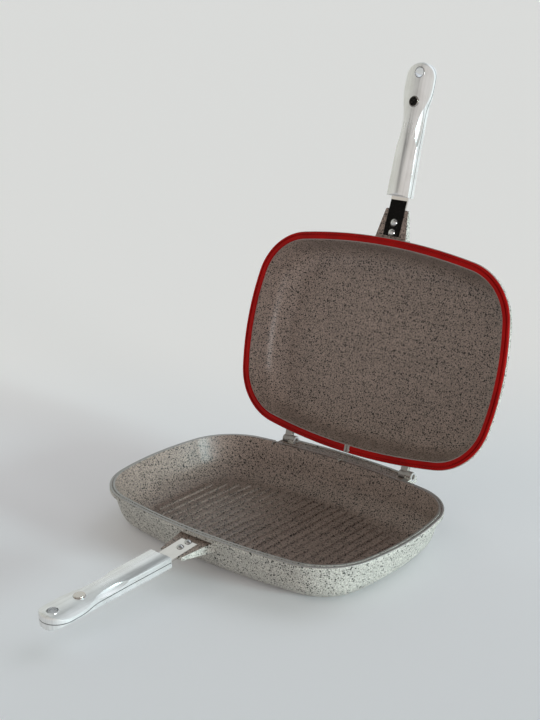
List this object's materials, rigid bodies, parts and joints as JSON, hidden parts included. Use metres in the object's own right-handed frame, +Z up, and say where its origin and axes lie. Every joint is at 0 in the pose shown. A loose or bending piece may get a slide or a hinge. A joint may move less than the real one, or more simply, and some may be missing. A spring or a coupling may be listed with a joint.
{
  "type": "double sided flip pan",
  "caption": "Double-sided oval pan: a ribbed base and a deep sealed lid on a rear hinge line, each with a cast bracket, a riveted tang and a long handle with a hanging hole.",
  "frame": {"origin": "middle of the base pan's flat foot, on the surface the pan stands on", "axes": "+Z up, X along the hinge line, handles towards -Y and hinge towards +Y; the rest pose is the open pose"},
  "size_m": [0.31, 0.5166, 0.4184],
  "materials": {
    "pan_coating": "speckled non-stick coating, satin",
    "silicone": "satin moulded silicone",
    "tang_steel": "polished strip",
    "rivet_steel": "polished domes",
    "magnet_cup": "plated",
    "magnet": "nickel plated",
    "eyelet_steel": "polished",
    "handle_steel": "polished",
    "pin_steel": "turned",
    "bare_collar": "machined"
  },
  "bodies": {
    "base": {"base_pan": "pan_coating", "base_tang": "tang_steel", "base_rivet_1": "rivet_steel", "base_rivet_2": "rivet_steel", "base_handle_face": "handle_steel", "base_handle_back": "handle_steel", "base_handle_eyelet": "eyelet_steel", "base_magnet": "magnet", "base_magnet_cup": "magnet_cup", "hinge_pin_left": "pin_steel", "hinge_pin_right": "pin_steel", "hinge_collar_left": "bare_collar", "hinge_collar_right": "bare_collar"},
    "lid": {"lid_pan": "pan_coating", "lid_seal": "silicone", "lid_tang": "tang_steel", "lid_rivet_1": "rivet_steel", "lid_rivet_2": "rivet_steel", "lid_handle_face": "handle_steel", "lid_handle_back": "handle_steel", "lid_handle_eyelet": "eyelet_steel", "lid_magnet": "magnet", "lid_magnet_cup": "magnet_cup"}
  },
  "joints": [
    {"name": "lid_hinge", "type": "hinge", "parent": "base", "child": "lid", "pos_m": [0, 0.11185, 0.0426], "axis": [1, 0, 0], "range_deg": [0, 106.2]}
  ]
}
